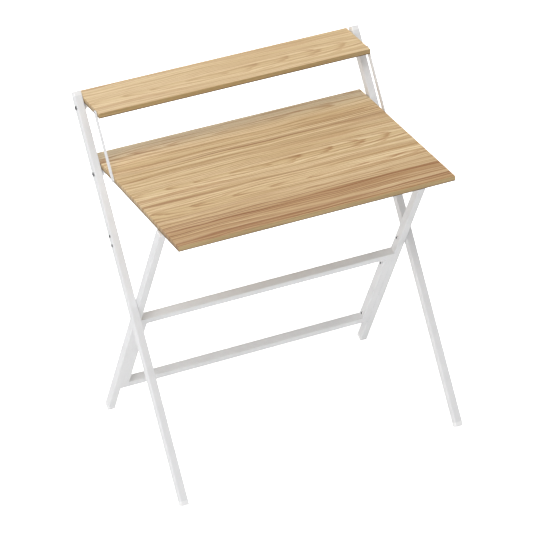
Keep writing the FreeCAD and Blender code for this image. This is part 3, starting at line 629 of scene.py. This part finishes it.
# kinds of screw, with sizes in metres and the side of the head
smallCross = {"headHeight": 0.0022, "shank": 0.002, "drive": 0.0021, "cross": True, "slot": "zinc_steel"}
woodScrew = {**smallCross, "head": "below", "finish": "brightZinc"}
linkScrew = {"headHeight": 0.0018, "shank": 0.0025, "drive": 0.0022, "cross": True, "head": "outside",
             "finish": "brightZinc", "slot": "zinc_steel"}
frameBolt = {"headHeight": 0.0033, "shank": 0.003, "drive": 0.0034, "head": "inside", "finish": "brightZinc",
             "slot": "zinc_steel"}
# the CAD groups that each row of fasteners stands for, and the body that carries it
fasteners = {
    "pivotBolts": {**frameBolt, "nodes": ["desk_pivot_bolts", "shelf_pivot_bolts"], "body": "long_legs",
                   "drive": 0.0023, "head": "outside", "finish": "darkBolt", "slot": "dark_steel"},
    "crossBolts": {**frameBolt, "nodes": ["cross_pivot_bolts"], "body": "long_legs"},
    "frameScrews": {**frameBolt, "nodes": ["frame_screws"], "body": "short_legs"},
    "spliceScrews": {**smallCross, "nodes": ["splice_screws"], "body": "long_legs", "head": "outside",
                     "finish": "darkBolt"},
    "deskLinkScrews": {**linkScrew, "nodes": ["desk_link_screws"], "body": "desktop"},
    "shelfLinkScrews": {**linkScrew, "nodes": ["shelf_link_screws"], "body": "shelf"},
    "deskWoodScrews": {**woodScrew, "nodes": ["desk_bracket_screws", "hook_screws"], "body": "desktop"},
    "shelfWoodScrews": {**woodScrew, "nodes": ["shelf_bracket_screws"], "body": "shelf"},
}


def seatOf(low, high, head, headHeight):
    # bearing face, facing and shank length of one screw, from its solid's box
    middle = (low + high) / 2
    if head == "below":
        seat = Vector((middle.x, middle.y, low.z + headHeight))
        return seat, Vector((0, 0, 0)), high.z - low.z - headHeight
    side = 1 if middle.x > 0 else -1
    pointsOut = head == "inside"
    outer, inner = (high.x, low.x) if side > 0 else (low.x, high.x)
    seat = inner + side * headHeight if pointsOut else outer - side * headHeight
    facing = Vector((0, math.pi / 2 * side * (1 if pointsOut else -1), 0))
    return Vector((seat, middle.y, middle.z)), facing, high.x - low.x - headHeight


def makeFasteners():
    tree = makeScrewTree()
    for name, make in fasteners.items():
        headHeight = make["headHeight"]
        for nodeName in make["nodes"]:
            boxes = solidBoxes(nodeName)
            rows = [seatOf(low, high, make["head"], headHeight) for low, high in boxes]
            seats, facings, lengths = zip(*rows)
            low, high = boxes[0]
            piece = grow(name + "." + nodeName, tree, seats, facings, [],
                         **{"Head Radius": (high.y - low.y) / 2, "Head Height": headHeight,
                            "Shank Radius": make["shank"], "Shank Length": lengths[0],
                            "Drive Radius": make["drive"], "Drive Depth": headHeight * turning["driveDepth"],
                            "Cross Drive": make.get("cross", False), "Finish": finishes[make["finish"]],
                            "Recess Shade Finish": finishes["recessShade"]})
            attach(piece, make["body"])
            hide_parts(nodeName)
    print("fasteners grown:", len(fasteners))


# lock nuts on the inner ends of the pivot bolts; sizes in metres
lockNut = {"nodes": ["desk_pivot_nuts", "shelf_pivot_nuts"], "corner": 0.005525, "height": 0.005,
           "bore": 0.00302}


def makeNutTree():
    # a grid is wrapped round the axis: six sides, a chamfer that cuts their corners, a collar and the bore
    tree, given, end = newGeometryTree("lockNut", ["Corner Radius", "Height", "Bore Radius"], [])
    corner, height, bore = given["Corner Radius"], given["Height"], given["Bore Radius"]
    x, y, z = spotOf(tree)
    gridHalf = 0.5
    turn = times(tree, minus(tree, gridHalf, y), 2 * math.pi)
    side = sixSided(tree, turn, corner)
    tall = times(tree, height, turning["nutTall"])
    top = times(tree, corner, turning["nutTop"])
    cut = over(tree, times(tree, minus(tree, side, top), tall), times(tree, corner, turning["nutCone"]))
    collar = times(tree, corner, turning["collar"])
    lip = times(tree, corner, turning["collarTop"])
    shoulder = times(tree, height, turning["collarShoulder"])
    radii = [bore, side, side, top, collar, collar, lip, bore, bore]
    heights = [0.0, 0.0, minus(tree, tall, cut), tall, tall, shoulder, height, height, 0.0]
    grid = shapeNode(tree, "GeometryNodeMeshGrid", Size_X=2 * gridHalf, Size_Y=2 * gridHalf,
                     Vertices_X=len(radii), Vertices_Y=turning["segments"] + 1)
    step = mathNode(tree, "ROUND", times(tree, plus(tree, x, gridHalf), len(radii) - 1))
    wrapped = turned(tree, grid, pickBy(tree, step, radii), turn, pickBy(tree, step, heights))
    close = addNode(tree, "GeometryNodeMergeByDistance")
    feed(tree, close.inputs["Geometry"], wrapped)
    close.inputs["Distance"].default_value = turning["merge"]
    plantAndFinish(tree, given, softEdges(tree, close.outputs[0]), end)
    return tree


def makeNuts():
    tree = makeNutTree()
    for nodeName in lockNut["nodes"]:
        points, facings = [], []
        for low, high in solidBoxes(nodeName):
            side = 1 if low.x > 0 else -1
            points.append(Vector((high.x if side > 0 else low.x, (low.y + high.y) / 2, (low.z + high.z) / 2)))
            facings.append(Vector((0, -side * math.pi / 2, 0)))
        piece = grow("lockNuts." + nodeName, tree, points, facings, [],
                     **{"Corner Radius": lockNut["corner"], "Height": lockNut["height"],
                        "Bore Radius": lockNut["bore"], "Finish": finishes["brightZinc"]})
        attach(piece, "long_legs")
        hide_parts(nodeName)
    print("lock nuts grown")


# welded seams of the short-leg frame: beads in the grooves between rounded tubes, a little below the faces
welds = {"depth": 0.0224, "height": 0.0225, "bead": 0.0011, "ripple": 0.16, "rippleLength": 0.0024,
         "sunk": 0.00115, "endInset": 0.0005, "endRise": 0.0005, "seamSunk": 0.0004, "railRise": 0.0004,
         "ringSteps": 40, "beadSides": 10, "stepShare": 0.2}


def makeBeadTree():
    # weld bead that ripples along its seam
    tree, given, end = newGeometryTree("weldBead", ["Bead Radius", "Ripple", "Ripple Length"], [])
    path = addNode(tree, "GeometryNodeMeshToCurve")
    feed(tree, path.inputs["Mesh"], given["Geometry"])
    even = addNode(tree, "GeometryNodeResampleCurve", mode="LENGTH")
    feed(tree, even.inputs["Curve"], path.outputs[0])
    feed(tree, even.inputs["Length"], times(tree, given["Ripple Length"], welds["stepShare"]))
    run = addNode(tree, "GeometryNodeSplineParameter").outputs["Length"]
    phase = times(tree, over(tree, run, given["Ripple Length"]), 2 * math.pi)
    swell = plus(tree, 1.0, times(tree, mathNode(tree, "SINE", phase), given["Ripple"]))
    thick = addNode(tree, "GeometryNodeSetCurveRadius")
    feed(tree, thick.inputs["Curve"], even.outputs[0])
    feed(tree, thick.inputs["Radius"], swell)
    ring = shapeNode(tree, "GeometryNodeCurvePrimitiveCircle", "Curve", Resolution=welds["beadSides"],
                     Radius=given["Bead Radius"])
    sweep = addNode(tree, "GeometryNodeCurveToMesh")
    feed(tree, sweep.inputs["Curve"], thick.outputs[0])
    feed(tree, sweep.inputs["Profile Curve"], ring)
    sweep.inputs["Fill Caps"].default_value = True
    smooth = addNode(tree, "GeometryNodeSetShadeSmooth", domain="FACE")
    feed(tree, smooth.inputs["Geometry"], sweep.outputs[0])
    finishWith(tree, given, smooth.outputs[0], end)
    return tree


def middleOf(nodeName):
    low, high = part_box(nodeName)
    return (Vector(low) + Vector(high)) / 2


def makeWelds():
    tree = makeBeadTree()
    upper, lower, rest = middleOf("upper_crossbar"), middleOf("lower_crossbar"), middleOf("rest_rail")
    down = (lower - upper).normalized()
    front = Vector((0, down.z, -down.y))
    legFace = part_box("upper_crossbar")[1][0]
    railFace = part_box("side_rail_right")[0][0]
    railLow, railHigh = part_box("rest_rail")
    reach = (railHigh[2] - railLow[2]) / 2 + welds["railRise"]
    groove = welds["depth"] / 2 - welds["sunk"]
    half = welds["height"] / 2
    bars = ((upper, 1), (lower, -1))  # with the way along the legs to the other bar
    points, edges = [], []

    def addPath(path, closed=False):
        start = len(points)
        points.extend(path)
        edges.extend((start + step, start + step + 1) for step in range(len(path) - 1))
        if closed:
            edges.append((start + len(path) - 1, start))

    for side in (-1, 1):
        leg, rail = Vector((side * legFace, 0, 0)), Vector((side * railFace, 0, 0))
        inset = Vector((side * welds["endInset"], 0, 0))
        for face in (-1, 1):
            lift = front * face * groove
            addPath([upper + leg + lift + down * -half, lower + leg + lift + down * half])
            for bar, way in bars:
                seam = bar + lift + down * way * (half - welds["seamSunk"])
                addPath([seam + leg, seam + rail])
        for bar, way in bars:
            outer = bar + leg - inset + down * -way * (half + welds["endRise"])
            addPath([outer + front * groove, outer - front * groove])
            inner = bar + rail - inset + down * way * (half + welds["endRise"])
            addPath([inner + front * groove, inner - front * groove])
        turns = [2 * math.pi * step / welds["ringSteps"] for step in range(welds["ringSteps"])]
        centre = rest + leg - inset
        addPath([centre + (front * math.cos(turn) + down * math.sin(turn)) * reach for turn in turns], True)
    piece = grow("weldBeads", tree, points, [], edges,
                 **{"Bead Radius": welds["bead"], "Ripple": welds["ripple"],
                    "Ripple Length": welds["rippleLength"], "Finish": finishes["whiteCoat"]})
    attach(piece, "short_legs")
    print("weld beads laid")


makeFasteners()
makeNuts()
makeWelds()


# plain pale floor, soft studio light and the photograph's camera; the floor's shine lights the desk, its glow
# is only seen by the camera
studio = {"floor": 30.0, "floorColour": (0.93, 0.93, 0.93, 1), "floorRoughness": 0.9, "floorShine": 0.133,
          "floorGlow": 0.75, "world": 0.284, "white": (1, 1, 1, 1), "aim": (0, 0, 0.5)}
lamps = {"frontLight": {"place": (-10.0, -10.0, 14.6), "size": 8.0, "power": 1362.0},
         "highLight": {"place": (-7.1, -7.1, 17.8), "size": 8.0, "power": 335.0},
         "sideLight": {"place": (-17.0, -17.0, 2.9), "size": 6.0, "power": 1003.0},
         "leftLight": {"place": (-13.0, 8.0, 13.0), "size": 8.0, "power": 593.0},
         "topLight": {"place": (0.0, -0.5, 4.6), "size": 2.0, "power": 39.1},
         "rightLight": {"place": (17.0, 4.0, 1.3), "size": 2.4, "power": 700.0},
         "rearLight": {"place": (0.0, 3.5, 3.0), "size": 2.5, "power": 37.4}}
view = {"place": (-3.5743, -6.99263, 5.2631), "tilt": 58.415, "turn": -27.019, "roll": 0.221, "lens": 240.286,
        "sensor": 36.0, "farthest": 100.0}


def makeFloor():
    half = studio["floor"] / 2
    mesh = bpy.data.meshes.new("studioFloor")
    corners = [(-half, -half, 0), (half, -half, 0), (half, half, 0), (-half, half, 0)]
    mesh.from_pydata(corners, [], [(0, 1, 2, 3)])
    floor = bpy.data.objects.new("studioFloor", mesh)
    bpy.context.collection.objects.link(floor)
    material, tree, shader = newMaterial("paleFloor", Roughness=studio["floorRoughness"])
    shader.inputs["Base Color"].default_value = studio["floorColour"]
    shader.inputs["Emission Color"].default_value = studio["white"]
    seen = addNode(tree, "ShaderNodeLightPath").outputs["Is Camera Ray"]
    feed(tree, shader.inputs["Emission Strength"],
         mathNode(tree, "MULTIPLY_ADD", seen, studio["floorGlow"], studio["floorShine"]))
    mesh.materials.append(material)


def makeLights():
    world = bpy.data.worlds.new("softStudio")
    world.use_nodes = True
    sky = world.node_tree.nodes["Background"]
    sky.inputs["Color"].default_value = studio["white"]
    sky.inputs["Strength"].default_value = studio["world"]
    bpy.context.scene.world = world
    for name, make in lamps.items():
        light = bpy.data.lights.new(name, "AREA")
        light.size = make["size"]
        light.energy = make["power"]
        lamp = bpy.data.objects.new(name, light)
        lamp.location = make["place"]
        lamp.visible_camera = False
        lamp.rotation_euler = (Vector(studio["aim"]) - lamp.location).to_track_quat("-Z", "Y").to_euler()
        bpy.context.collection.objects.link(lamp)


def makeCamera():
    camera = bpy.data.objects.new("photoCamera", bpy.data.cameras.new("photoCamera"))
    camera.data.sensor_width = view["sensor"]
    camera.data.lens = view["lens"]
    camera.data.clip_end = view["farthest"]
    camera.location = view["place"]
    aim = Euler((math.radians(view["tilt"]), 0.0, math.radians(view["turn"]))).to_matrix()
    camera.rotation_euler = (aim @ Matrix.Rotation(math.radians(view["roll"]), 3, "Z")).to_euler()
    bpy.context.collection.objects.link(camera)
    bpy.context.scene.camera = camera


makeFloor()
makeLights()
makeCamera()
bpy.context.scene.view_settings.view_transform = "Standard"
print("studio ready")
